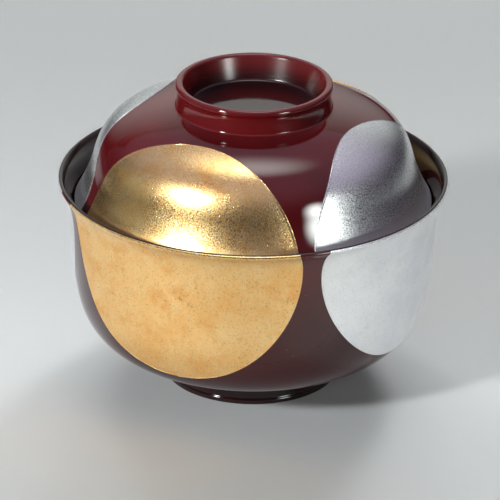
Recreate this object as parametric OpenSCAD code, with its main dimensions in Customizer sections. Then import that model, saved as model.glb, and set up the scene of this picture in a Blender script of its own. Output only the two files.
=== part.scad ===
// Lacquer soup bowl with a nested lid: turned wood cores, lacquer coats and leaf discs.
// Lengths are millimetres and angles are degrees. The origin is the centre of the foot's
// sole, +Z is up and the front faces -Y. Every surface is a path of [radius, height] points
// that keeps the material on its left, so a coat is the same path moved into the wall.

/* [Bowl] */
// Outer diameter over the rim
bowl_d = 128; // [122:0.5:134]
// Height of the rim's top above the sole
bowl_h = 70; // [66:0.5:74]
// Thickness of the rounded rim
rim_t = 1.6; // [1.3:0.1:2]
// Thickness of the wall beside the foot
base_t = 3.2; // [2.4:0.1:4]
// Thickness of the base at the axis
floor_t = 4.8; // [4:0.1:6]
// How far the rim stands out past the upright side
rim_out = 5.1; // [4:0.1:6.5]
// Height at which the side stands upright
belly_z = 38; // [35:0.5:41]

/* [Bowl side curve] */
// Outward lean of the upright side, from vertical
side_lean = 4.9; // [2:0.1:8]
// Slope of the underside beside the foot
under_slope = 4.6; // [2:0.1:8]
// Pull of the underside, as a share of its width from foot to upright side
under_pull_share = 0.87; // [0.7:0.01:0.95]
// Pull of the side below its upright part, as a share of that height
side_pull_down_share = 0.48; // [0.35:0.01:0.6]
// Pull of the side above its upright part, as a share of that height
side_pull_up_share = 0.54; // [0.4:0.01:0.6]
// Slope of the flared rim, from horizontal
flare_slope = 46; // [40:1:54]
// Pull of the flare below the rim, as a share of the same height
flare_pull_share = 0.17; // [0.12:0.01:0.24]

/* [Foot] */
// Outer diameter of the foot's lip at the sole
foot_d = 57.8; // [54:0.2:61]
// Height of the foot, up to the bowl's underside
foot_h = 9.3; // [8:0.1:11]
// Width of the flat sole
sole_w = 2.6; // [2:0.1:3.4]
// How far the lip at the sole stands out from the foot
foot_lip_out = 0.5; // [0.2:0.1:0.8]
// Height of the lip at the sole
foot_lip_h = 1.3; // [0.8:0.1:2]
// Rounding between the foot and the underside
foot_fillet = 1.4; // [1:0.1:2]
// Depth of the recess inside the foot
recess_depth = 7; // [5:0.1:8]
// Rounding inside the recess
recess_fillet = 1.6; // [1:0.1:2.5]

/* [Lid] */
// Depth of the lid's edge below the bowl's rim
lid_sink = 8.5; // [7:0.1:11]
// Clearance between the lid's edge and the bowl
seat_gap = 0.4; // [0.35:0.05:0.8]
// Thickness of the lid's rounded edge
lid_edge_t = 1.4; // [1.1:0.1:1.8]
// Thickness of the lid beside the ring
lid_t = 2.4; // [2:0.1:3]
// Thickness of the lid under the ring's hollow
crown_t = 1.9; // [1.6:0.1:2.6]
// Height of the dome at the ring, above the lid's edge
dome_h = 33.1; // [30:0.1:36]
// How far the lid draws in halfway up its side
lid_side_in = 6.1; // [5:0.1:7.5]
// Height of that halfway point above the lid's edge
lid_side_z = 15; // [13:0.1:17]

/* [Lid side curve] */
// Slope of the flared edge, from vertical
edge_lean = 22; // [15:1:30]
// Inward lean of the side, from vertical
lid_lean = 15.1; // [11:0.1:19]
// Slope of the dome at the ring
dome_slope = 9.7; // [6:0.1:13]
// Pull of the flare above the edge, as a share of the halfway height
edge_pull_share = 0.11; // [0.06:0.01:0.2]
// Pull of the side below its halfway point, as a share of the halfway height
lid_pull_down_share = 0.6; // [0.45:0.01:0.7]
// Pull of the side above its halfway point, as a share of the height left to the ring
lid_pull_up_share = 0.55; // [0.45:0.01:0.65]
// Pull of the dome, as a share of its width from side to ring
dome_pull_share = 0.78; // [0.65:0.01:0.86]

/* [Ring] */
// Outer diameter over the ring's lip
ring_d = 51.6; // [48:0.2:55]
// Height of the ring above the dome
ring_h = 8.3; // [7.5:0.1:10]
// Depth of the hollow inside the ring
ring_depth = 8.3; // [7.4:0.1:8.7]
// How far the ring's base stands back from its lip
ring_base_in = 0.3; // [0.1:0.05:0.6]
// Inward lean of the ring's wall at its base
ring_base_lean = 8; // [4:1:14]
// Pull of the ring's wall at its base and lip, as a share of the ring's height
ring_pull_share = 0.13; // [0.1:0.01:0.18]
// Width of the ring's lip
ring_lip_w = 2.8; // [2.3:0.1:3.3]
// Width of the flat on the lip, which the turned lid stands on
ring_lip_flat = 0.5; // [0.3:0.1:0.8]
// Angle at which the lip's outer rounding starts, from horizontal
ring_lip_start = -48; // [-60:1:-35]
// Inward lean of the ring's inner wall
ring_taper = 16; // [10:1:20]
// Rounding between the inner wall and the hollow's floor
ring_cove = 1; // [0.6:0.1:1.6]
// Rounding between the ring and the dome
ring_fillet = 0.6; // [0.4:0.1:1]

/* [Coats and discs] */
// Thickness of each lacquer coat
coat_t = 0.3; // [0.2:0.05:0.35]
// Thickness of the leaf on the lacquer
leaf_t = 0.1; // [0.08:0.01:0.15]
// Angle of bare lacquer between neighbouring discs on the bowl
bowl_disc_gap = 6.2; // [3:0.1:20]
// Depth of their compass point below the rim's top, on the side
bowl_disc_drop = 6.6; // [4:0.1:10]
// Angle of bare lacquer between neighbouring discs on the lid
lid_disc_gap = 7.3; // [3:0.1:20]
// Depth of their compass point below the lid's edge
lid_disc_drop = 2.7; // [1:0.1:5]
// How far that compass point lies outside the lid's edge
lid_disc_out = 2.4; // [1:0.1:4]
// Bearing of the front gold disc on the bowl, from the front towards +X
bowl_disc_turn = -26.8; // [-45:0.1:45]
// Bearing of the front gold disc on the lid
lid_disc_turn = -27.1; // [-45:0.1:45]

/* [Hidden] */
$fn = 180;

// Steps along each long curve, each rounding, and the part of the rim's rounding that leaf covers
curve_steps = 14;
round_steps = 8;
leaf_rim_steps = 4;
// Angle from one disc to the next
disc_turn = 90;

wood = [0.66, 0.47, 0.30];
maroon = [0.33, 0.09, 0.10];
black = [0.09, 0.05, 0.04];
gold = [0.80, 0.62, 0.34];
silver = [0.74, 0.75, 0.76];

// Path helpers
function bearing(angle) = [cos(angle), sin(angle)];
function bezier(p, t) =
    let (u = 1 - t) u * u * u * p[0] + 3 * u * u * t * p[1] + 3 * u * t * t * p[2] + t * t * t * p[3];
function curve(p) = [for (i = [0 : curve_steps]) bezier(p, i / curve_steps)];
function short_curve(p) = [for (i = [0 : round_steps]) bezier(p, i / round_steps)];
function rounding(centre, radius, from, to) =
    [for (i = [0 : round_steps]) centre + radius * bearing(from + (to - from) * i / round_steps)];
function stretch(path, from, to) = [for (i = [from : to]) path[i]];
function after_first(path) = stretch(path, 1, len(path) - 1);
function reversed(path) = [for (i = [len(path) - 1 : -1 : 0]) path[i]];
function direction(from, to) = (to - from) / norm(to - from);
function left_of(way) = [-way[1], way[0]];

// Mitred way into the wall at point i, so that a moved path stays parallel to its own
function inward(path, i) =
    let (last = len(path) - 1,
         before = left_of(direction(path[max(i, 1) - 1], path[max(i, 1)])),
         after = left_of(direction(path[min(i, last - 1)], path[min(i, last - 1) + 1])))
    (before + after) / (1 + before * after);
function moved_in(path, depth) = [for (i = [0 : len(path) - 1]) path[i] + depth * inward(path, i)];

// The other face of a wall whose thickness runs evenly from one end of the path to the other
function far_face(path, t_from, t_to) =
    let (last = len(path) - 1)
    [for (i = [0 : last]) path[i] + (t_from + (t_to - t_from) * i / last) * inward(path, i)];

// Radius of a path at a given height, read from its points in the order of rising height
function radius_at(path, z) = lookup(z, [for (p = path) [p[1], p[0]]]);

// Bowl: from the sole's outer edge up the outside, over the rim and down to the floor's centre
foot_r = foot_d / 2;
foot_wall_r = foot_r - foot_lip_out;
foot_lip_end = [foot_wall_r, foot_lip_h + 2 * foot_lip_out];
foot_outside = concat(
    [[foot_r, 0]],
    short_curve([
        [foot_r, foot_lip_h - foot_lip_out],
        [foot_r, foot_lip_h + foot_lip_out],
        [foot_wall_r, foot_lip_h],
        foot_lip_end
    ]),
    rounding([foot_wall_r + foot_fillet, foot_h - foot_fillet], foot_fillet, 180, 90 + under_slope)
);
under_start = foot_outside[len(foot_outside) - 1];
belly = [bowl_d / 2 - rim_out, belly_z];
rim_centre = [bowl_d / 2 - rim_t / 2, bowl_h - rim_t / 2];
flare_end = rim_centre + rim_t / 2 * bearing(flare_slope - 90);
under_run = belly - under_start;
side_run = flare_end - belly;
bowl_side = concat(
    curve([
        under_start,
        under_start + under_pull_share * under_run[0] * bearing(under_slope),
        belly - side_pull_down_share * under_run[1] * bearing(90 - side_lean),
        belly
    ]),
    after_first(curve([
        belly,
        belly + side_pull_up_share * side_run[1] * bearing(90 - side_lean),
        flare_end - flare_pull_share * side_run[1] * bearing(flare_slope),
        flare_end
    ]))
);
bowl_rim = rounding(rim_centre, rim_t / 2, flare_slope - 90, flare_slope + 90);
bowl_inside = after_first(reversed(far_face(bowl_side, base_t, rim_t)));
floor_z = recess_depth + floor_t;
floor_start = bowl_inside[len(bowl_inside) - 1];
floor_slope = bearing(180 + under_slope);
floor_flat_r = floor_start[0] / 3;
bowl_floor = concat(
    short_curve([
        floor_start,
        floor_start + floor_flat_r * floor_slope,
        [2 * floor_flat_r, floor_z],
        [floor_flat_r, floor_z]
    ]),
    [[0, floor_z]]
);
bowl_path = concat(foot_outside, after_first(bowl_side), after_first(bowl_rim),
                   bowl_inside, after_first(bowl_floor));
side_from = len(foot_outside) - 1;
rim_from = side_from + len(bowl_side) - 1;
rim_to = rim_from + round_steps;
bowl_last = len(bowl_path) - 1;

// Recess inside the foot: from its ceiling's centre out and down to the sole's inner edge
recess_r = foot_r - sole_w;
recess_path = concat(
    [[0, recess_depth]],
    rounding([recess_r - recess_fillet, recess_depth - recess_fillet], recess_fillet, 90, 0),
    [[recess_r, 0]]
);

// Lid: from the underside's centre out to the edge, up the outside, over the ring and to its floor
lid_edge_z = bowl_h - lid_sink;
lid_r = radius_at(reversed(bowl_inside), lid_edge_z) - seat_gap;
edge_centre = [lid_r - lid_edge_t / 2, lid_edge_z];
flare_start = edge_centre + lid_edge_t / 2 * bearing(edge_lean);
lid_side_mid = [lid_r - lid_side_in, lid_edge_z + lid_side_z];
ring_r = ring_d / 2;
ring_base = [ring_r - ring_base_in, lid_edge_z + dome_h + ring_fillet];
dome_end = [ring_base[0] + ring_fillet, lid_edge_z + dome_h];
dome_run = [lid_side_mid[0] - dome_end[0], dome_h - lid_side_z];
lid_side = concat(
    curve([
        flare_start,
        flare_start + edge_pull_share * lid_side_z * bearing(90 + edge_lean),
        lid_side_mid - lid_pull_down_share * lid_side_z * bearing(90 + lid_lean),
        lid_side_mid
    ]),
    after_first(curve([
        lid_side_mid,
        lid_side_mid + lid_pull_up_share * dome_run[1] * bearing(90 + lid_lean),
        dome_end + dome_pull_share * dome_run[0] * bearing(-dome_slope),
        dome_end
    ]))
);
lid_edge = rounding(edge_centre, lid_edge_t / 2, edge_lean - 180, edge_lean);
under_side = reversed(after_first(far_face(lid_side, lid_edge_t, lid_t)));
ring_top_z = lid_edge_z + dome_h + ring_h;
ring_floor_z = ring_top_z - ring_depth;
crown_z = ring_floor_z - crown_t;
crown_flat_r = under_side[0][0] / 3;
lid_underside = concat(
    [[0, crown_z]],
    short_curve([
        [crown_flat_r, crown_z],
        [2 * crown_flat_r, crown_z],
        under_side[0] + crown_flat_r / 2 * bearing(180 - dome_slope),
        under_side[0]
    ])
);
ring_lip_round = (ring_lip_w - ring_lip_flat) / 2;
lip_out_centre = [ring_r - ring_lip_round, ring_top_z - ring_lip_round];
lip_in_centre = lip_out_centre - [ring_lip_flat, 0];
ring_lip = concat(
    rounding(lip_out_centre, ring_lip_round, ring_lip_start, 90),
    rounding(lip_in_centre, ring_lip_round, 90, 180 - ring_taper)
);
ring_outside = short_curve([
    ring_base,
    ring_base + ring_pull_share * ring_h * bearing(90 + ring_base_lean),
    ring_lip[0] - ring_pull_share * ring_h * bearing(90 + ring_lip_start),
    ring_lip[0]
]);
ring_join = short_curve([
    dome_end,
    dome_end + ring_fillet / 2 * bearing(180 - dome_slope),
    ring_base - ring_fillet / 2 * bearing(90 + ring_base_lean),
    ring_base
]);
// The inner wall runs straight from the lip to the cove, which touches both wall and floor
wall_top = ring_lip[len(ring_lip) - 1];
cove_z = ring_floor_z + ring_cove;
cove_touch_z = cove_z - ring_cove * sin(ring_taper);
cove_r = wall_top[0] - (wall_top[1] - cove_touch_z) * tan(ring_taper) - ring_cove * cos(ring_taper);
ring_hollow = concat(
    rounding([cove_r, cove_z], ring_cove, -ring_taper, -90),
    [[0, ring_floor_z]]
);
lid_path = concat(lid_underside, after_first(under_side), after_first(lid_edge), after_first(lid_side),
                  after_first(ring_join), after_first(ring_outside), after_first(ring_lip), ring_hollow);
edge_from = len(lid_underside) + len(under_side) - 2;
outside_from = edge_from + round_steps;
dome_to = outside_from + len(lid_side) - 1;
lid_last = len(lid_path) - 1;

// Shapes shared by the pieces
module coat(path, depth, from, to) {
    rotate_extrude()
        polygon(concat(stretch(path, from, to), reversed(stretch(moved_in(path, depth), from, to))));
}

// A disc reaches half its angle to either side of its compass point, measured round the axis
module compass_ball(point, gap, turn) {
    reach = 2 * point[0] * sin((disc_turn - gap) / 4);
    rotate([0, 0, turn]) translate([0, -point[0], point[1]]) sphere(reach);
}

module bowl_disc(count) {
    z = bowl_h - bowl_disc_drop;
    point = [radius_at(bowl_side, z), z];
    intersection() {
        coat(bowl_path, -leaf_t, side_from, rim_from + leaf_rim_steps);
        compass_ball(point, bowl_disc_gap, bowl_disc_turn + count * disc_turn);
    }
}

module lid_disc(count) {
    point = [lid_r + lid_disc_out, lid_edge_z - lid_disc_drop];
    intersection() {
        coat(lid_path, -leaf_t, outside_from, dome_to);
        compass_ball(point, lid_disc_gap, lid_disc_turn + count * disc_turn);
    }
}

// Bowl: the turned core carries its coats, and its sole is the face that stands on the table
module bowl_core() {
    color(wood) rotate_extrude()
        polygon(concat(moved_in(bowl_path, coat_t), moved_in(recess_path, coat_t)));
}

module bowl_outer_lacquer() {
    color(maroon) coat(bowl_path, coat_t, 0, rim_to);
}

module bowl_inner_lacquer() {
    color(black) coat(bowl_path, coat_t, rim_to, bowl_last);
}

module foot_recess_lacquer() {
    color(black) coat(recess_path, coat_t, 0, len(recess_path) - 1);
}

module bowl_gold_leaf_front() {
    color(gold) bowl_disc(0);
}

module bowl_silver_leaf_right() {
    color(silver) bowl_disc(1);
}

module bowl_gold_leaf_back() {
    color(gold) bowl_disc(2);
}

module bowl_silver_leaf_left() {
    color(silver) bowl_disc(3);
}

// Lid: core and ring are turned from one blank
module lid_core() {
    color(wood) rotate_extrude() polygon(moved_in(lid_path, coat_t));
}

module lid_outer_lacquer() {
    color(maroon) coat(lid_path, coat_t, edge_from, lid_last);
}

module lid_inner_lacquer() {
    color(black) coat(lid_path, coat_t, 0, edge_from);
}

module lid_gold_leaf_front() {
    color(gold) lid_disc(0);
}

module lid_silver_leaf_right() {
    color(silver) lid_disc(1);
}

module lid_gold_leaf_back() {
    color(gold) lid_disc(2);
}

module lid_silver_leaf_left() {
    color(silver) lid_disc(3);
}

bowl_core();
bowl_outer_lacquer();
bowl_inner_lacquer();
foot_recess_lacquer();
bowl_gold_leaf_front();
bowl_silver_leaf_right();
bowl_gold_leaf_back();
bowl_silver_leaf_left();
lid_core();
lid_outer_lacquer();
lid_inner_lacquer();
lid_gold_leaf_front();
lid_silver_leaf_right();
lid_gold_leaf_back();
lid_silver_leaf_left();
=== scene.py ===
import math

import bpy
import numpy as np
from mathutils import Euler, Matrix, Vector


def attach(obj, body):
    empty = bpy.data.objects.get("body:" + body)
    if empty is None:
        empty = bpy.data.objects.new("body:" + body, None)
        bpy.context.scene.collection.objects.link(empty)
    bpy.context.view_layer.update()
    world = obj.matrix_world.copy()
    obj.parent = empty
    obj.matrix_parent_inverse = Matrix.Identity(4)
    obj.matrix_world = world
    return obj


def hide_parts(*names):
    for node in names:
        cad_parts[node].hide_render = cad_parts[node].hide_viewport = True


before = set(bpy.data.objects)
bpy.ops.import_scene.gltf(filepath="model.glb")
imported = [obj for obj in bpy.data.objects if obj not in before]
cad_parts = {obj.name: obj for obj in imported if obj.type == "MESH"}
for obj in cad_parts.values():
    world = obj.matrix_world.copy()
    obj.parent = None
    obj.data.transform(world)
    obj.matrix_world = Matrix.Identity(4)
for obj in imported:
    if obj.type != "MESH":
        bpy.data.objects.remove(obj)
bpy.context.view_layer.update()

# Lacquer soup bowl with a nested lid. Lengths here are millimetres until MM turns them into metres,
# angles are degrees, and every surface is a path of (radius, height) points swept round the axis.
MM = 0.001

# Bowl
BOWL_D, BOWL_H = 128.0, 70.0
RIM_T, BASE_T, FLOOR_T = 1.6, 3.2, 4.8
RIM_OUT, BELLY_Z = 5.1, 38.0
SIDE_LEAN, UNDER_SLOPE, FLARE_SLOPE = 4.9, 4.6, 46.0
UNDER_PULL_SHARE, SIDE_PULL_DOWN_SHARE, SIDE_PULL_UP_SHARE, FLARE_PULL_SHARE = 0.87, 0.48, 0.54, 0.17

# Foot
FOOT_D, FOOT_H, SOLE_W = 57.8, 9.3, 2.6
FOOT_LIP_OUT, FOOT_LIP_H, FOOT_FILLET = 0.5, 1.3, 1.4
RECESS_DEPTH, RECESS_FILLET = 7.0, 1.6

# Lid
LID_SINK, SEAT_GAP = 8.5, 0.4
LID_EDGE_T, LID_T, CROWN_T = 1.4, 2.4, 1.9
DOME_H, LID_SIDE_IN, LID_SIDE_Z = 33.1, 6.1, 15.0
EDGE_LEAN, LID_LEAN, DOME_SLOPE = 22.0, 15.1, 9.7
EDGE_PULL_SHARE, LID_PULL_DOWN_SHARE, LID_PULL_UP_SHARE, DOME_PULL_SHARE = 0.11, 0.6, 0.55, 0.78

# Ring
RING_D, RING_H, RING_DEPTH, RING_BASE_IN = 51.6, 8.3, 8.3, 0.3
RING_BASE_LEAN, RING_PULL_SHARE = 8.0, 0.13
RING_LIP_W, RING_LIP_FLAT, RING_LIP_START = 2.8, 0.5, -48.0
RING_TAPER, RING_COVE, RING_FILLET = 16.0, 1.0, 0.6

# Coats and discs
COAT_T, LEAF_T = 0.3, 0.1
BOWL_DISC_GAP, BOWL_DISC_DROP, BOWL_DISC_TURN = 6.2, 6.6, -26.8
LID_DISC_GAP, LID_DISC_DROP, LID_DISC_OUT, LID_DISC_TURN = 7.3, 2.7, 2.4, -27.1
DISC_TURN = 90.0

# Fineness of the meshes
CURVE_STEPS, ROUND_STEPS, TURN_STEPS = 42, 12, 256
LEAF_COLUMNS, LEAF_TIP_ROWS, LEAF_SEARCH_STEPS, LEAF_TIP_REACH = 96, 14, 4000, 5.0
SHARP_ANGLE, ON_AXIS = 40.0, 1e-9

# Border of the leaf, narrower in the tip, and how far over the rim the leaf and the outer lacquer go
LEAF_EDGE, LEAF_RIDGE = 0.40, 0.08
LEAF_BORDER_SHARES, LEAF_BORDER_T_SHARE, LEAF_NARROW = np.array([0.0, 0.3, 0.65, 1.0]), 0.3, 3
LEAF_RIM_SHARE, LACQUER_MEET_SHARE = 0.5, 0.5


def bearing(angle):
    """One unit along an angle from the radius, turning upwards."""
    return np.array([math.cos(math.radians(angle)), math.sin(math.radians(angle))])


def bezier(points, steps):
    """Points along the cubic curve of four control points."""
    p = [np.array(q, float) for q in points]
    made = []
    for i in range(steps + 1):
        t = i / steps
        u = 1 - t
        made.append(u**3 * p[0] + 3 * u * u * t * p[1] + 3 * u * t * t * p[2] + t**3 * p[3])
    return made


def rounding(centre, radius, start, end):
    """Points along an arc between two angles."""
    turns = [start + (end - start) * i / ROUND_STEPS for i in range(ROUND_STEPS + 1)]
    return [np.array(centre, float) + radius * bearing(turn) for turn in turns]


def left_of(way):
    """One unit to the left of a way, which is into the wall."""
    return np.array([-way[1], way[0]]) / np.hypot(*way)


def inward(path, i):
    """Mitred way into the wall at point i, so that a moved path stays parallel to its own."""
    last = len(path) - 1
    before = left_of(path[max(i, 1)] - path[max(i, 1) - 1])
    after = left_of(path[min(i, last - 1) + 1] - path[min(i, last - 1)])
    return (before + after) / (1 + before @ after)


def moved_in(path, depth):
    """The path moved into the wall by one depth all along."""
    return [p + depth * inward(path, i) for i, p in enumerate(path)]


def far_face(path, t_start, t_end):
    """The path moved into the wall by a thickness that changes evenly from end to end."""
    depths = [t_start + (t_end - t_start) * i / (len(path) - 1) for i in range(len(path))]
    return [p + depth * inward(path, i) for i, (p, depth) in enumerate(zip(path, depths))]


def bowl_paths():
    """Outside up to the rim, rim, inside down to the floor's centre, and the recess under the foot."""
    foot_r = FOOT_D / 2
    wall_r = foot_r - FOOT_LIP_OUT
    lip = bezier([(foot_r, FOOT_LIP_H - FOOT_LIP_OUT), (foot_r, FOOT_LIP_H + FOOT_LIP_OUT),
                  (wall_r, FOOT_LIP_H), (wall_r, FOOT_LIP_H + 2 * FOOT_LIP_OUT)], ROUND_STEPS)
    fillet = rounding((wall_r + FOOT_FILLET, FOOT_H - FOOT_FILLET), FOOT_FILLET, 180, 90 + UNDER_SLOPE)
    foot = [np.array([foot_r, 0.0])] + lip + fillet
    start = foot[-1]
    belly = np.array([BOWL_D / 2 - RIM_OUT, BELLY_Z])
    rim_centre = np.array([BOWL_D / 2 - RIM_T / 2, BOWL_H - RIM_T / 2])
    end = rim_centre + RIM_T / 2 * bearing(FLARE_SLOPE - 90)
    run, rise = belly - start, end - belly
    upright = bearing(90 - SIDE_LEAN)
    side = bezier([start, start + UNDER_PULL_SHARE * run[0] * bearing(UNDER_SLOPE),
                   belly - SIDE_PULL_DOWN_SHARE * run[1] * upright, belly], CURVE_STEPS)
    side += bezier([belly, belly + SIDE_PULL_UP_SHARE * rise[1] * upright,
                    end - FLARE_PULL_SHARE * rise[1] * bearing(FLARE_SLOPE), end], CURVE_STEPS)[1:]
    rim = rounding(rim_centre, RIM_T / 2, FLARE_SLOPE - 90, FLARE_SLOPE + 90)
    inside = far_face(side, BASE_T, RIM_T)[::-1][1:]
    floor_z = RECESS_DEPTH + FLOOR_T
    flat_r = inside[-1][0] / 3
    floor = bezier([inside[-1], inside[-1] + flat_r * bearing(180 + UNDER_SLOPE),
                    (2 * flat_r, floor_z), (flat_r, floor_z)], ROUND_STEPS)
    floor.append(np.array([0.0, floor_z]))
    recess_r = foot_r - SOLE_W
    recess = [np.array([0.0, RECESS_DEPTH])]
    recess += rounding((recess_r - RECESS_FILLET, RECESS_DEPTH - RECESS_FILLET), RECESS_FILLET, 90, 0)
    recess.append(np.array([recess_r, 0.0]))
    path = foot + side[1:] + rim[1:] + inside + floor[1:]
    return path, {"side": len(foot) - 1, "rim": len(foot) + len(side) - 2}, side, inside, recess


def lid_paths(inside):
    """Underside from the centre to the edge, outside up to the ring, over it and to its floor."""
    edge_z = BOWL_H - LID_SINK
    wall = np.array(inside[::-1])
    lid_r = float(np.interp(edge_z, wall[:, 1], wall[:, 0])) - SEAT_GAP
    edge_centre = np.array([lid_r - LID_EDGE_T / 2, edge_z])
    start = edge_centre + LID_EDGE_T / 2 * bearing(EDGE_LEAN)
    mid = np.array([lid_r - LID_SIDE_IN, edge_z + LID_SIDE_Z])
    ring_r = RING_D / 2
    base = np.array([ring_r - RING_BASE_IN, edge_z + DOME_H + RING_FILLET])
    end = np.array([base[0] + RING_FILLET, edge_z + DOME_H])
    run, rise = mid[0] - end[0], DOME_H - LID_SIDE_Z
    upright = bearing(90 + LID_LEAN)
    side = bezier([start, start + EDGE_PULL_SHARE * LID_SIDE_Z * bearing(90 + EDGE_LEAN),
                   mid - LID_PULL_DOWN_SHARE * LID_SIDE_Z * upright, mid], CURVE_STEPS)
    side += bezier([mid, mid + LID_PULL_UP_SHARE * rise * upright,
                    end + DOME_PULL_SHARE * run * bearing(-DOME_SLOPE), end], CURVE_STEPS)[1:]
    edge = rounding(edge_centre, LID_EDGE_T / 2, EDGE_LEAN - 180, EDGE_LEAN)
    under = far_face(side, LID_EDGE_T, LID_T)[1:][::-1]
    top_z = edge_z + DOME_H + RING_H
    floor_z = top_z - RING_DEPTH
    crown_z = floor_z - CROWN_T
    flat_r = under[0][0] / 3
    crown = [np.array([0.0, crown_z])]
    crown += bezier([(flat_r, crown_z), (2 * flat_r, crown_z),
                     under[0] + flat_r / 2 * bearing(180 - DOME_SLOPE), under[0]], ROUND_STEPS)
    lip_round = (RING_LIP_W - RING_LIP_FLAT) / 2
    lip_out = np.array([ring_r - lip_round, top_z - lip_round])
    lip_in = lip_out - np.array([RING_LIP_FLAT, 0.0])
    lip = rounding(lip_out, lip_round, RING_LIP_START, 90)
    lip += rounding(lip_in, lip_round, 90, 180 - RING_TAPER)
    pull = RING_PULL_SHARE * RING_H
    wall_up = bezier([base, base + pull * bearing(90 + RING_BASE_LEAN),
                      lip[0] - pull * bearing(90 + RING_LIP_START), lip[0]], CURVE_STEPS)
    join = bezier([end, end + RING_FILLET / 2 * bearing(180 - DOME_SLOPE),
                   base - RING_FILLET / 2 * bearing(90 + RING_BASE_LEAN), base], ROUND_STEPS)
    slope = math.radians(RING_TAPER)
    cove_z = floor_z + RING_COVE
    touch_z = cove_z - RING_COVE * math.sin(slope)
    cove_r = lip[-1][0] - (lip[-1][1] - touch_z) * math.tan(slope) - RING_COVE * math.cos(slope)
    hollow = rounding((cove_r, cove_z), RING_COVE, -RING_TAPER, -90) + [np.array([0.0, floor_z])]
    path = crown + under[1:] + edge[1:] + side[1:] + join[1:] + wall_up[1:] + lip[1:] + hollow
    marks = {"edge": len(crown) + len(under) - 2}
    marks["side"] = marks["edge"] + ROUND_STEPS
    marks["join"] = marks["side"] + len(side) - 1
    return path, marks, lid_r, edge_z


BOWL, BOWL_AT, BOWL_SIDE, BOWL_INSIDE, RECESS = bowl_paths()
LID, LID_AT, LID_R, LID_EDGE_Z = lid_paths(BOWL_INSIDE)


def add_mesh(name, points, faces, body, material, nodes):
    """One piece in metres, smooth but for its real corners, riding on a body in place of CAD nodes."""
    mesh = bpy.data.meshes.new(name)
    mesh.from_pydata([tuple(c * MM for c in p) for p in points], [], faces)
    mesh.validate()
    mesh.shade_smooth()
    mesh.set_sharp_from_angle(angle=math.radians(SHARP_ANGLE))
    mesh.materials.append(material)
    piece = bpy.data.objects.new(name, mesh)
    bpy.context.scene.collection.objects.link(piece)
    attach(piece, body)
    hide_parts(*nodes)


def turned(path):
    """Points and faces of a path swept round the axis. One with no end on the axis closes on itself."""
    points, faces, rows = [], [], []
    for r, z in path:
        if r < ON_AXIS:
            rows.append([len(points)])
            points.append((0.0, 0.0, z))
            continue
        rows.append(list(range(len(points), len(points) + TURN_STEPS)))
        for k in range(TURN_STEPS):
            a = 2 * math.pi * k / TURN_STEPS
            points.append((r * math.sin(a), -r * math.cos(a), z))
    pairs = list(zip(rows, rows[1:]))
    if len(rows[0]) > 1 and len(rows[-1]) > 1:
        pairs.append((rows[-1], rows[0]))
    for low, high in pairs:
        for k in range(TURN_STEPS):
            n = (k + 1) % TURN_STEPS
            if len(low) == len(high) == 1:
                break
            if len(low) == 1:
                faces.append((low[0], high[n], high[k]))
            elif len(high) == 1:
                faces.append((low[k], low[n], high[0]))
            else:
                faces.append((low[k], low[n], high[n], high[k]))
    return points, faces


def coat_section(path, first, last):
    """The closed section of a coat over a stretch of a path."""
    outer = path[first:last + 1]
    inner = moved_in(path, COAT_T)[first:last + 1]
    if outer[-1][0] < ON_AXIS:
        return outer[::-1] + inner
    return outer + inner[::-1]


def add_turned(name, body, material, section):
    """A turned piece in place of the CAD node of its own name."""
    points, faces = turned(section)
    add_mesh(name, points, faces, body, material, [name])


def side_point(path, z):
    """The point at one height of a path that runs upwards."""
    found = np.array(path)
    return np.array([np.interp(z, found[:, 1], found[:, 0]), z])


def leaf_rows(path, first, last, centre, reach):
    """Path points, ways outward and half angles of a disc, from its straight edge to its tip."""
    stretch = np.array(path[first:last + 1])
    ways = np.array([-inward(path, i) for i in range(first, last + 1)])
    step = np.hypot(*np.diff(stretch, axis=0).T)
    along = np.concatenate([[0.0], np.cumsum(step)])
    fine = np.linspace(0, along[-1], LEAF_SEARCH_STEPS)
    r, z = np.interp(fine, along, stretch[:, 0]), np.interp(fine, along, stretch[:, 1])
    held = (r - centre[0]) ** 2 + (z - centre[1]) ** 2 < reach**2
    from_top = held[-1]
    tip = fine[held][0] if from_top else fine[held][-1]
    edge = along[-1] if from_top else 0.0
    toward = np.sign(tip - edge)
    near_tip = tip - toward * LEAF_TIP_REACH
    kept = along[(along - edge) * toward < (near_tip - edge) * toward]
    kept = kept if toward > 0 else kept[::-1]
    shares = np.linspace(1, 0, LEAF_TIP_ROWS + 1) ** 2
    rows = np.concatenate([kept, tip - toward * LEAF_TIP_REACH * shares])
    made = []
    for s in rows:
        point = np.array([np.interp(s, along, stretch[:, 0]), np.interp(s, along, stretch[:, 1])])
        way = np.array([np.interp(s, along, ways[:, 0]), np.interp(s, along, ways[:, 1])])
        cosine = (point[0]**2 + centre[0]**2 + (point[1] - centre[1])**2 - reach**2)
        cosine /= 2 * point[0] * centre[0]
        made.append((point, way, math.acos(min(1.0, cosine)), abs(s - edge)))
    return made


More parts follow.
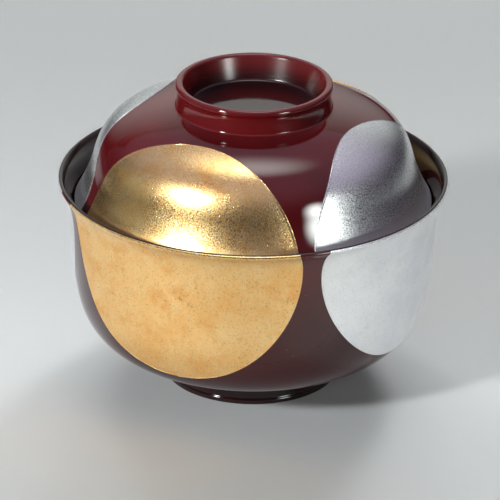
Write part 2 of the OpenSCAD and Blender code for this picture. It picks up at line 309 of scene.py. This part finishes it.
def add_leaf(name, body, material, path, first, last, centre, gap, turn):
    """A disc of leaf as a thin closed skin, with the fine ridge that the lacquer forms along its border."""
    reach = 2 * centre[0] * math.sin(math.radians(DISC_TURN - gap) / 4)
    rows = leaf_rows(path, first, last, centre, reach)
    points, faces = [], []
    borders = LEAF_BORDER_SHARES * LEAF_EDGE
    for point, way, half, from_edge in rows:
        width = half * point[0]
        rim = borders * min(1.0, width / (LEAF_NARROW * LEAF_EDGE))
        middle = np.linspace(-width + rim[-1], width - rim[-1], LEAF_COLUMNS)[1:-1]
        across = np.concatenate([-width + rim, middle, (width - rim)[::-1]])
        for side in (0, 1):
            for c in across:
                share = min(1.0, (width - abs(c)) / LEAF_EDGE, from_edge / LEAF_EDGE)
                share = max(0.0, share)
                rise = (1 - LEAF_BORDER_T_SHARE) * math.sin(math.pi / 2 * share)
                lift = side * LEAF_T * (LEAF_BORDER_T_SHARE + rise)
                lift += side * LEAF_RIDGE * math.sin(math.pi * share)
                p = point + lift * way
                a = math.radians(turn) + c / point[0]
                points.append((p[0] * math.sin(a), -p[0] * math.cos(a), p[1]))
    wide = LEAF_COLUMNS - 2 + 2 * len(borders)
    turned_over = rows[0][0][1] > rows[-1][0][1]

    def at(row, side, column):
        return row * 2 * wide + side * wide + column

    for row in range(len(rows) - 1):
        for c in range(wide - 1):
            low = (at(row, 0, c), at(row + 1, 0, c), at(row + 1, 0, c + 1), at(row, 0, c + 1))
            high = (at(row, 1, c), at(row, 1, c + 1), at(row + 1, 1, c + 1), at(row + 1, 1, c))
            faces += [low, high]
        faces.append((at(row, 0, 0), at(row, 1, 0), at(row + 1, 1, 0), at(row + 1, 0, 0)))
        faces.append((at(row, 0, wide - 1), at(row + 1, 0, wide - 1),
                      at(row + 1, 1, wide - 1), at(row, 1, wide - 1)))
    end = len(rows) - 1
    for c in range(wide - 1):
        faces.append((at(0, 0, c), at(0, 0, c + 1), at(0, 1, c + 1), at(0, 1, c)))
        faces.append((at(end, 0, c), at(end, 1, c), at(end, 1, c + 1), at(end, 0, c + 1)))
    if turned_over:
        faces = [face[::-1] for face in faces]
    add_mesh(name, points, faces, body, material, [name])


# Finishes and painted shades, as linear colours
MAROON_DEEP, MAROON_WARM = (0.085, 0.0046, 0.0062), (0.112, 0.006, 0.0078)
# The side colour is painted shade: the bowl below its belly is darker than the lid
SIDE_PAINTED_SHADE, RING_RED = (0.046, 0.0032, 0.005), (0.130, 0.0060, 0.0070)
# The foot colour is painted shade: the foot darker than the rest of the lacquer
# The hollow colour is painted shade: the ring's hollow darker, where little light reaches
FOOT_PAINTED_SHADE, HOLLOW_PAINTED_SHADE = (0.016, 0.0016, 0.0019), (0.022, 0.0018, 0.0022)
BLACK_DEEP, BLACK_WARM = (0.013, 0.0055, 0.0045), (0.024, 0.009, 0.007)
DUST = (0.30, 0.24, 0.22)
GOLD_BRIGHT, GOLD_DULL, GOLD_DEEP = (1.0, 0.71, 0.35), (0.97, 0.60, 0.24), (0.40, 0.20, 0.07)
SILVER_BRIGHT, SILVER_DULL, SILVER_DEEP = (0.90, 0.90, 0.90), (0.84, 0.83, 0.85), (0.62, 0.60, 0.62)
GOLD_STAIN, SILVER_STAIN = (0.92, 0.44, 0.11), (0.80, 0.79, 0.80)
SOLE_DARK, SOLE_WORN = (0.020, 0.009, 0.007), (0.060, 0.030, 0.018)
# The paper's back tone is painted shade: the paper darker far behind the bowl
PAPER_LOW, PAPER_HIGH, PAPER_BACK_PAINTED_SHADE = (0.555, 0.54, 0.56), (0.588, 0.572, 0.592), (0.40, 0.388, 0.398)
PAPER_DARK, CARD_WHITE = (0.03, 0.03, 0.035), (0.88, 0.87, 0.85)
NOTHING = (0.0, 0.0, 0.0)

# Roughness, and the depth of relief in millimetres
MAROON_GLOSS, BLACK_GLOSS, HOLLOW_HAZE = 0.045, 0.06, (0.23, 0.23, 0.23)
WORN_GAIN, LACQUER_IOR, LACQUER_WAVE = 2.2, 1.54, 0.008
GOLD_ROUGH, SILVER_ROUGH, BOWL_ROUGHER, LID_ROUGHER = 0.20, 0.24, (0.30, 0.50), (0.0, 0.14)
GOLD_GRAIN, SILVER_GRAIN, STROKE_SHARE, GOLD_PITS, SILVER_PITS = 0.036, 0.036, 0.4, 0.6, 0.2
SOLE_RELIEF, PAPER_RELIEF, PAPER_ROUGH, PAPER_SHINE = 0.05, 0.02, 0.85, 0.2

# Patterns: a noise's size in millimetres, detail and roughness, and stops that make it a share
LACQUER_CLOUD, LACQUER_CLOUD_STOPS = (22, 2.0), [(0.35, 0.0), (0.7, 1.0)]
LACQUER_DUST, LACQUER_DUST_STOPS = (0.55, 1.0), [(0.80, 0.0), (0.83, 1.0)]
LACQUER_WEAR, LACQUER_WEAR_PLACES, LACQUER_SWELL = (6, 4.0), (0.35, 0.75), (9, 1.0)
LEAF_CLOUD, LEAF_CLOUD_STOPS = (14, 4.0, 0.6), [(0.35, 0.0), (0.68, 1.0)]
LEAF_PATCH, LEAF_PATCH_STOPS = (8, 5.0, 0.65), [(0.50, 0.0), (0.72, 0.75)]
LEAF_FINE, LEAF_FINE_STOPS = (0.5, 4.0, 0.7), [(0.3, 0.7), (0.45, 0.0)]
LEAF_SPOT, LEAF_SPOT_PLACES = (1.1, 2.0), (0.60, 0.74)
LEAF_CROWD, LEAF_CROWD_STOPS = (16, 2.0), [(0.45, 0.0), (0.7, 1.0)]
LEAF_SPECK, LEAF_SPECK_PLACES = (0.3, 1.0), (0.38, 0.62)
LEAF_CRINKLE = (0.5, 2.0, 0.6)
LEAF_STROKE, LEAF_STROKE_STOPS = (1.5, 2.0, 0.6), [(0.46, 0.0), (0.5, 1.0), (0.54, 0.0)]
LEAF_BREAK, LEAF_BREAK_STOPS = (0.9, 1.0), [(0.46, 0.0), (0.54, 1.0)]
SOLE_GRAIN, SOLE_PLACES = (5, 5.0, 0.6, (3.0, 0.35, 1.0)), (0.3, 0.7)
SOLE_ROUGH_STOPS = [(0.3, 0.35), (0.8, 0.6)]
PAPER_TONE, PAPER_TONE_PLACES, PAPER_TOOTH = (400, 1.0), (0.3, 0.7), (0.8, 3.0)

# Where a finish or a painted shade changes: heights at rest, distances from the axis, and on the table
# distances behind the axis, which are negative in front
SIDE_SHADE_BAND = (BELLY_Z, BOWL_H + 4.0)
FOOT_SHADE_BAND = (FOOT_H - 2.5, FOOT_H + 1.5)
HOLLOW_SHADE_BAND = (LID_EDGE_Z + DOME_H + RING_H - 1.0, LID_EDGE_Z + DOME_H + 0.5)
RING_BAND = (LID_EDGE_Z + DOME_H - 1.0, LID_EDGE_Z + DOME_H + 0.5)
HOLLOW_R = RING_D / 2 - RING_LIP_W - RING_DEPTH * math.tan(math.radians(RING_TAPER))
HOLLOW_WALL_BAND = (HOLLOW_R - 0.4, HOLLOW_R + 0.4)
PAPER_DEPTH, CARD_DEPTH = (-20.0, 330.0), (-58.0, -95.0)
PAPER_END, PAPER_END_SCALE = (150.0, 205.0), (0.5, 1, 1)
FLOOR_HALF = 2400.0


def new_material(name):
    """A material with its node tree, its shader and the place on the piece, in metres."""
    material = bpy.data.materials.new(name)
    material.use_nodes = True
    tree = material.node_tree
    shader = tree.nodes["Principled BSDF"]
    place = tree.nodes.new("ShaderNodeTexCoord")
    return material, tree, shader, place.outputs["Object"]


def noise(tree, place, size, detail, roughness=0.5, stretch=(1, 1, 1)):
    """Noise whose features are about size millimetres across, finer along the axes stretched more."""
    shape = tree.nodes.new("ShaderNodeMapping")
    shape.inputs["Scale"].default_value = [s / (size * MM) for s in stretch]
    tree.links.new(place, shape.inputs["Vector"])
    made = tree.nodes.new("ShaderNodeTexNoise")
    made.inputs["Scale"].default_value = 1.0
    made.inputs["Detail"].default_value = detail
    made.inputs["Roughness"].default_value = roughness
    tree.links.new(shape.outputs["Vector"], made.inputs["Vector"])
    return made.outputs["Fac"]


def ramp(tree, fac, stops):
    """Colours or grey levels at places along fac; a stop is (place, colour)."""
    made = tree.nodes.new("ShaderNodeValToRGB")
    band = made.color_ramp
    while len(band.elements) < len(stops):
        band.elements.new(0.5)
    for element, (place, colour) in zip(band.elements, stops):
        element.position = place
        element.color = (*colour, 1) if isinstance(colour, tuple) else (colour, colour, colour, 1)
    tree.links.new(fac, made.inputs["Fac"])
    return made.outputs["Color"]


def mix(tree, fac, first, second):
    """The first colour at 0 and the second at 1; each can be a colour or a socket."""
    made = tree.nodes.new("ShaderNodeMix")
    made.data_type = "RGBA"
    for socket, value in (("Factor", fac), ("A", first), ("B", second)):
        slots = [s for s in made.inputs if s.name == socket and s.type in ("VALUE", "RGBA")]
        target = slots[0] if socket == "Factor" else [s for s in slots if s.type == "RGBA"][0]
        if isinstance(value, bpy.types.NodeSocket):
            tree.links.new(value, target)
        else:
            target.default_value = (*value, 1) if isinstance(value, tuple) else value
    return [s for s in made.outputs if s.type == "RGBA"][0]


def bump(tree, height, distance, below=None):
    """Relief of a depth in millimetres, on top of the relief below it."""
    made = tree.nodes.new("ShaderNodeBump")
    made.inputs["Strength"].default_value = 1.0
    made.inputs["Distance"].default_value = distance * MM
    tree.links.new(height, made.inputs["Height"])
    if below is not None:
        tree.links.new(below, made.inputs["Normal"])
    return made.outputs["Normal"]


def reach_over(tree, place, scale):
    """Distance from the scene's centre after its axes are scaled."""
    scaled = tree.nodes.new("ShaderNodeVectorMath")
    scaled.operation = "MULTIPLY"
    scaled.inputs[1].default_value = scale
    tree.links.new(place, scaled.inputs[0])
    made = tree.nodes.new("ShaderNodeVectorMath")
    made.operation = "LENGTH"
    tree.links.new(scaled.outputs["Vector"], made.inputs[0])
    return made.outputs["Value"]


def step_between(tree, value, start, end):
    """0 at start and 1 at end, in millimetres, with a soft step between them."""
    made = tree.nodes.new("ShaderNodeMapRange")
    made.interpolation_type = "SMOOTHSTEP"
    made.inputs["From Min"].default_value = start * MM
    made.inputs["From Max"].default_value = end * MM
    tree.links.new(value, made.inputs["Value"])
    return made.outputs["Result"]


def unseen(tree, share):
    """The share, but 0 where the camera looks straight at the surface."""
    seen = tree.nodes.new("ShaderNodeLightPath")
    made = tree.nodes.new("ShaderNodeMath")
    made.operation = "SUBTRACT"
    made.use_clamp = True
    tree.links.new(share, made.inputs[0])
    tree.links.new(seen.outputs["Is Camera Ray"], made.inputs[1])
    return made.outputs["Value"]


def band_of_height(tree, place, low, high):
    """0 below low and 1 above high, in millimetres above the table at rest."""
    parts = tree.nodes.new("ShaderNodeSeparateXYZ")
    tree.links.new(place, parts.inputs["Vector"])
    return step_between(tree, parts.outputs["Z"], low, high)


def beyond(tree, place, start, end):
    """0 at one distance from the axis and 1 at another."""
    return step_between(tree, reach_over(tree, place, (1, 1, 0)), start, end)


def both(tree, first, second):
    """The product of two shares."""
    made = tree.nodes.new("ShaderNodeMath")
    made.operation = "MULTIPLY"
    tree.links.new(first, made.inputs[0])
    tree.links.new(second, made.inputs[1])
    return made.outputs["Value"]


def inside_lip(tree, place):
    """1 nearer to the axis than the ring's lip, and 0 beyond it."""
    return beyond(tree, place, RING_D / 2 - RING_LIP_W / 2, RING_D / 2 - RING_LIP_W)


def in_hollow(tree, place):
    """1 at the bottom of the ring's hollow, fading up its inner wall, and 0 elsewhere: where the hollow's
    shade is painted.
    """
    return both(tree, inside_lip(tree, place), band_of_height(tree, place, *HOLLOW_SHADE_BAND))


def on_hollow_wall(tree, place):
    """1 on the ring's inner wall, which a cloth can't polish as well, and 0 elsewhere."""
    return both(tree, inside_lip(tree, place), beyond(tree, place, *HOLLOW_WALL_BAND))


def lacquer(name, deep, warm, gloss, ring=None):
    """Polished lacquer: a deep body colour under a clear film, with faint polish marks and dust. Given a
    ring colour, it also has a redder ring and painted shade in the ring's hollow, on the bowl below its
    belly and on the foot.
    """
    material, tree, shader, place = new_material(name)
    cloud = noise(tree, place, *LACQUER_CLOUD)
    body = mix(tree, ramp(tree, cloud, LACQUER_CLOUD_STOPS), deep, warm)
    if ring is not None:
        body = mix(tree, band_of_height(tree, place, *RING_BAND), body, ring)
        # Painted shade: the ring's hollow darker
        body = mix(tree, in_hollow(tree, place), body, HOLLOW_PAINTED_SHADE)
        # Painted shade: the bowl darker below its belly
        body = mix(tree, band_of_height(tree, place, *SIDE_SHADE_BAND), SIDE_PAINTED_SHADE, body)
        # Painted shade: the foot darker
        body = mix(tree, band_of_height(tree, place, *FOOT_SHADE_BAND), FOOT_PAINTED_SHADE, body)
    specks = ramp(tree, noise(tree, place, *LACQUER_DUST), LACQUER_DUST_STOPS)
    body = mix(tree, specks, body, DUST)
    tree.links.new(body, shader.inputs["Base Color"])
    levels = zip(LACQUER_WEAR_PLACES, (gloss, gloss * WORN_GAIN))
    worn = ramp(tree, noise(tree, place, *LACQUER_WEAR), list(levels))
    if ring is not None:
        worn = mix(tree, on_hollow_wall(tree, place), worn, HOLLOW_HAZE)
    tree.links.new(worn, shader.inputs["Roughness"])
    shader.inputs["IOR"].default_value = LACQUER_IOR
    wave = bump(tree, noise(tree, place, *LACQUER_SWELL), LACQUER_WAVE)
    tree.links.new(wave, shader.inputs["Normal"])
    return material


def leaf(name, bright, dull, deep, stain, rough, grain, pits):
    """Metal leaf under a worn film: crinkled foil with short raised strokes, stains and dark pits."""
    material, tree, shader, place = new_material(name)
    shader.inputs["Metallic"].default_value = 1.0
    cloud = noise(tree, place, *LEAF_CLOUD)
    base = mix(tree, ramp(tree, cloud, LEAF_CLOUD_STOPS), bright, dull)
    patches = ramp(tree, noise(tree, place, *LEAF_PATCH), LEAF_PATCH_STOPS)
    base = mix(tree, patches, base, stain)
    fine = noise(tree, place, *LEAF_FINE)
    base = mix(tree, ramp(tree, fine, LEAF_FINE_STOPS), base, deep)
    spot = noise(tree, place, *LEAF_SPOT)
    crowd = ramp(tree, noise(tree, place, *LEAF_CROWD), LEAF_CROWD_STOPS)
    spots = mix(tree, crowd, NOTHING, ramp(tree, spot, list(zip(LEAF_SPOT_PLACES, (0.0, pits)))))
    base = mix(tree, spots, base, deep)
    tree.links.new(base, shader.inputs["Base Color"])
    speck = noise(tree, place, *LEAF_SPECK)
    on_bowl, on_lid = (ramp(tree, speck, list(zip(LEAF_SPECK_PLACES, (rough + low, rough + high))))
                       for low, high in (BOWL_ROUGHER, LID_ROUGHER))
    level = mix(tree, band_of_height(tree, place, LID_EDGE_Z, BOWL_H), on_bowl, on_lid)
    tree.links.new(level, shader.inputs["Roughness"])
    foil = bump(tree, noise(tree, place, *LEAF_CRINKLE), grain)
    lines = ramp(tree, noise(tree, place, *LEAF_STROKE), LEAF_STROKE_STOPS)
    broken = ramp(tree, noise(tree, place, *LEAF_BREAK), LEAF_BREAK_STOPS)
    strokes = mix(tree, broken, NOTHING, lines)
    foil = bump(tree, strokes, grain * STROKE_SHARE, foil)
    tree.links.new(foil, shader.inputs["Normal"])
    return material


def worn_sole():
    """The sole, where the core shows: worn dark lacquer with the turned wood's grain through it."""
    material, tree, shader, place = new_material("sole")
    grain = noise(tree, place, *SOLE_GRAIN)
    base = ramp(tree, grain, list(zip(SOLE_PLACES, (SOLE_DARK, SOLE_WORN))))
    tree.links.new(base, shader.inputs["Base Color"])
    tree.links.new(ramp(tree, grain, SOLE_ROUGH_STOPS), shader.inputs["Roughness"])
    tree.links.new(bump(tree, grain, SOLE_RELIEF), shader.inputs["Normal"])
    return material


def paper():
    """Pale paper with painted shade that darkens it far behind the bowl. All but the camera's own rays also
    find a white card on it before the bowl, and a dark table where it ends farther out in front and at the
    sides."""
    material, tree, shader, place = new_material("paper")
    tones = list(zip(PAPER_TONE_PLACES, (PAPER_LOW, PAPER_HIGH)))
    base = ramp(tree, noise(tree, place, *PAPER_TONE), tones)
    parts = tree.nodes.new("ShaderNodeSeparateXYZ")
    tree.links.new(place, parts.inputs["Vector"])
    # Painted shade: the paper darker far behind the bowl
    base = mix(tree, step_between(tree, parts.outputs["Y"], *PAPER_DEPTH), base, PAPER_BACK_PAINTED_SHADE)
    base = mix(tree, unseen(tree, step_between(tree, parts.outputs["Y"], *CARD_DEPTH)), base, CARD_WHITE)
    front = tree.nodes.new("ShaderNodeVectorMath")
    front.operation = "MINIMUM"
    front.inputs[1].default_value = (FLOOR_HALF * MM, 0, 0)
    tree.links.new(place, front.inputs[0])
    far = reach_over(tree, front.outputs["Vector"], PAPER_END_SCALE)
    base = mix(tree, unseen(tree, step_between(tree, far, *PAPER_END)), base, PAPER_DARK)
    tree.links.new(base, shader.inputs["Base Color"])
    shader.inputs["Roughness"].default_value = PAPER_ROUGH
    shader.inputs["Specular IOR Level"].default_value = PAPER_SHINE
    tree.links.new(bump(tree, noise(tree, place, *PAPER_TOOTH), PAPER_RELIEF), shader.inputs["Normal"])
    return material


maroon = lacquer("maroon lacquer", MAROON_DEEP, MAROON_WARM, MAROON_GLOSS, RING_RED)
black = lacquer("black lacquer", BLACK_DEEP, BLACK_WARM, BLACK_GLOSS)
gold = leaf("gold leaf", GOLD_BRIGHT, GOLD_DULL, GOLD_DEEP, GOLD_STAIN, GOLD_ROUGH, GOLD_GRAIN, GOLD_PITS)
silver = leaf("silver leaf", SILVER_BRIGHT, SILVER_DULL, SILVER_DEEP, SILVER_STAIN,
              SILVER_ROUGH, SILVER_GRAIN, SILVER_PITS)
sole = worn_sole()

# The four discs of each half, a quarter turn apart from the front gold one to the right
DISCS = (("gold_leaf_front", "gold_leaf", gold), ("silver_leaf_right", "silver_leaf", silver),
         ("gold_leaf_back", "gold_leaf", gold), ("silver_leaf_left", "silver_leaf", silver))


def add_discs(body, path, first, last, centre, gap, turn):
    """The discs of one half, on a stretch of its outside."""
    for count, (name, slot, material) in enumerate(DISCS):
        add_leaf(body + "_" + name, body, material, path, first, last, centre, gap,
                 turn + count * DISC_TURN)


def build_bowl():
    """Core, outer coat up to the middle of the rim, inner coat, coat in the foot, and discs."""
    meet = BOWL_AT["rim"] + round(LACQUER_MEET_SHARE * ROUND_STEPS)
    core = moved_in(BOWL, COAT_T) + moved_in(RECESS, COAT_T)
    outer = coat_section(BOWL, 0, meet)
    inner = coat_section(BOWL, meet, len(BOWL) - 1)
    recess = coat_section(RECESS, 0, len(RECESS) - 1)
    add_turned("bowl_core", "bowl", sole, core)
    add_turned("bowl_outer_lacquer", "bowl", maroon, outer)
    add_turned("bowl_inner_lacquer", "bowl", black, inner)
    add_turned("foot_recess_lacquer", "bowl", black, recess)
    centre = side_point(BOWL_SIDE, BOWL_H - BOWL_DISC_DROP)
    leaf_end = BOWL_AT["rim"] + round(LEAF_RIM_SHARE * ROUND_STEPS)
    add_discs("bowl", BOWL, BOWL_AT["side"], leaf_end, centre, BOWL_DISC_GAP, BOWL_DISC_TURN)


def build_lid():
    """Core, outer coat from the edge to the ring's hollow, inner coat, and discs."""
    outer = coat_section(LID, LID_AT["edge"], len(LID) - 1)
    inner = coat_section(LID, 0, LID_AT["edge"])
    add_turned("lid_core", "lid", sole, moved_in(LID, COAT_T))
    add_turned("lid_outer_lacquer", "lid", maroon, outer)
    add_turned("lid_inner_lacquer", "lid", black, inner)
    centre = np.array([LID_R + LID_DISC_OUT, LID_EDGE_Z - LID_DISC_DROP])
    add_discs("lid", LID, LID_AT["side"], LID_AT["join"], centre, LID_DISC_GAP, LID_DISC_TURN)


build_bowl()
build_lid()

# Studio: a pale paper floor under a pale ceiling. Some lamps show in the lacquer and the leaf, and
# some only light the paper and the lacquer's colour
SWEEP_BACK, SWEEP_CURVE, SWEEP_HEIGHT = 2300.0, 400.0, 1800.0
TARGET = Vector((0.0, 0.0, 60.0))
LAMP_CORE_SHARE = 0.05
LAMP_COLOUR = (0.93, 1.0, 0.97)
LAMPS = {
    # name: bearing from the front, elevation, distance, angles it spans across and upwards, glow,
    # whether it lights the paper and the lacquer's colour, whether gloss and leaf show it
    "lamp left": (-46, 25, 900, 10, 11, 320.0, True, True),
    "lamp right": (43, 9, 900, 22, 24, 26.0, False, True),
    "soft box above": (177, 75, 1600, 44, 40, 4.8, False, True),
    "glow on the wall": (180, 21, 2100, 90, 54, 0.9, False, True),
    "reflector left": (-92, 10, 1200, 60, 40, 0.4, False, True),
    "lamp behind": (180, 34, 2000, 18, 18, 34.0, True, False),
    "lamp behind right": (158, 36, 2000, 24, 24, 48.0, True, False),
    "lamp behind left": (-160, 36, 2000, 24, 24, 25.0, True, False),
    "fill in front": (-5, 20, 1500, 60, 26, 4.4, True, False),
    "fill right": (60, 30, 1500, 50, 30, 2.4, True, False),
}
CEILING, ROOM = (0.44, 0.405, 0.51), (0.04, 0.035, 0.045)
CEILING_FROM, CEILING_FULL = 4.0, 65.0


def add_floor():
    """A sheet of paper that lies flat under the bowl and curves up into a wall far behind it."""
    bend = [np.array([SWEEP_BACK - SWEEP_CURVE, SWEEP_CURVE]) + SWEEP_CURVE * bearing(turn)
            for turn in np.linspace(-90, 0, ROUND_STEPS + 1)]
    profile = [(-FLOOR_HALF, 0.0)] + [tuple(p) for p in bend] + [(SWEEP_BACK, SWEEP_HEIGHT)]
    points = [(side * FLOOR_HALF * MM, y * MM, z * MM) for y, z in profile for side in (-1, 1)]
    faces = [(2 * i, 2 * i + 1, 2 * i + 3, 2 * i + 2) for i in range(len(profile) - 1)]
    mesh = bpy.data.meshes.new("floor")
    mesh.from_pydata(points, [], faces)
    mesh.shade_smooth()
    mesh.materials.append(paper())
    floor = bpy.data.objects.new("floor", mesh)
    bpy.context.scene.collection.objects.link(floor)


def way_to(bearing_deg, elevation_deg):
    """One unit from the bowl, at an angle to the right of the front and an angle above the table."""
    a, e = math.radians(bearing_deg), math.radians(elevation_deg)
    return Vector((math.sin(a) * math.cos(e), -math.cos(a) * math.cos(e), math.sin(e)))


def soft_panel(name, glow):
    """Light cloth: full glow in its middle, clearer and clearer to its border, unseen from behind."""
    material = bpy.data.materials.new(name)
    material.use_nodes = True
    tree = material.node_tree
    tree.nodes.remove(tree.nodes["Principled BSDF"])
    place = tree.nodes.new("ShaderNodeTexCoord")
    reach = tree.nodes.new("ShaderNodeVectorMath")
    reach.operation = "LENGTH"
    tree.links.new(place.outputs["Object"], reach.inputs[0])
    fade = tree.nodes.new("ShaderNodeMapRange")
    fade.interpolation_type = "SMOOTHSTEP"
    fade.inputs["From Min"].default_value = 1.0
    fade.inputs["From Max"].default_value = LAMP_CORE_SHARE
    tree.links.new(reach.outputs["Value"], fade.inputs["Value"])
    facing = tree.nodes.new("ShaderNodeNewGeometry")
    front = tree.nodes.new("ShaderNodeMath")
    front.operation = "SUBTRACT"
    front.use_clamp = True
    tree.links.new(fade.outputs["Result"], front.inputs[0])
    tree.links.new(facing.outputs["Backfacing"], front.inputs[1])
    clear = tree.nodes.new("ShaderNodeBsdfTransparent")
    light = tree.nodes.new("ShaderNodeEmission")
    light.inputs["Color"].default_value = (*LAMP_COLOUR, 1)
    light.inputs["Strength"].default_value = glow
    cloth = tree.nodes.new("ShaderNodeMixShader")
    tree.links.new(front.outputs["Value"], cloth.inputs["Fac"])
    tree.links.new(clear.outputs["BSDF"], cloth.inputs[1])
    tree.links.new(light.outputs["Emission"], cloth.inputs[2])
    tree.links.new(cloth.outputs["Shader"], tree.nodes["Material Output"].inputs["Surface"])
    return material


def add_lamp(name, bearing_deg, elevation_deg, distance, wide, tall, glow, lights, shows):
    """An oval soft box that spans the given angles as seen from the bowl."""
    mesh = bpy.data.meshes.new(name)
    mesh.from_pydata([(-1, -1, 0), (1, -1, 0), (1, 1, 0), (-1, 1, 0)], [], [(0, 1, 2, 3)])
    mesh.materials.append(soft_panel(name, glow))
    lamp = bpy.data.objects.new(name, mesh)
    way = way_to(bearing_deg, elevation_deg)
    lamp.location = (TARGET + distance * way) * MM
    across, upward = (distance * MM * math.tan(math.radians(a / 2)) for a in (wide, tall))
    lamp.scale = (across, upward, 1)
    lamp.rotation_euler = (-way).to_track_quat("Z", "Y").to_euler()
    lamp.visible_camera, lamp.visible_diffuse, lamp.visible_glossy = False, lights, shows
    bpy.context.scene.collection.objects.link(lamp)


def add_room():
    """A pale ceiling that fades into a dark room towards the horizon. Only gloss and leaf show it."""
    world = bpy.data.worlds.new("room")
    bpy.context.scene.world = world
    world.use_nodes = True
    tree = world.node_tree
    place = tree.nodes.new("ShaderNodeTexCoord")
    parts = tree.nodes.new("ShaderNodeSeparateXYZ")
    tree.links.new(place.outputs["Generated"], parts.inputs["Vector"])
    rise = tree.nodes.new("ShaderNodeMapRange")
    rise.interpolation_type = "SMOOTHSTEP"
    rise.inputs["From Min"].default_value = math.sin(math.radians(CEILING_FROM))
    rise.inputs["From Max"].default_value = math.sin(math.radians(CEILING_FULL))
    tree.links.new(parts.outputs["Z"], rise.inputs["Value"])
    light = mix(tree, rise.outputs["Result"], ROOM, CEILING)
    tree.links.new(light, tree.nodes["Background"].inputs["Color"])
    world.cycles_visibility.diffuse = False


add_floor()
for lamp_name, lamp_facts in LAMPS.items():
    add_lamp(lamp_name, *lamp_facts)
add_room()

# Camera: 25 degrees above the table, far off with a long lens, rolled by a hair as in the photograph
CAMERA_AIM = Vector((-0.8, 0.0, 42.5))
CAMERA_DISTANCE, CAMERA_ELEVATION, CAMERA_ROLL = 1400.0, 24.98, 0.64
CAMERA_LENS, SENSOR = 304.6, 36.0

camera_data = bpy.data.cameras.new("camera")
camera_data.lens, camera_data.sensor_width = CAMERA_LENS, SENSOR
camera = bpy.data.objects.new("camera", camera_data)
back = way_to(0, CAMERA_ELEVATION)
camera.location = (CAMERA_AIM + CAMERA_DISTANCE * back) * MM
upright = back.to_track_quat("Z", "Y")
camera.rotation_euler = (upright @ Euler((0, 0, math.radians(CAMERA_ROLL))).to_quaternion()).to_euler()
bpy.context.scene.collection.objects.link(camera)
bpy.context.scene.camera = camera
bpy.context.scene.view_settings.view_transform = "Standard"
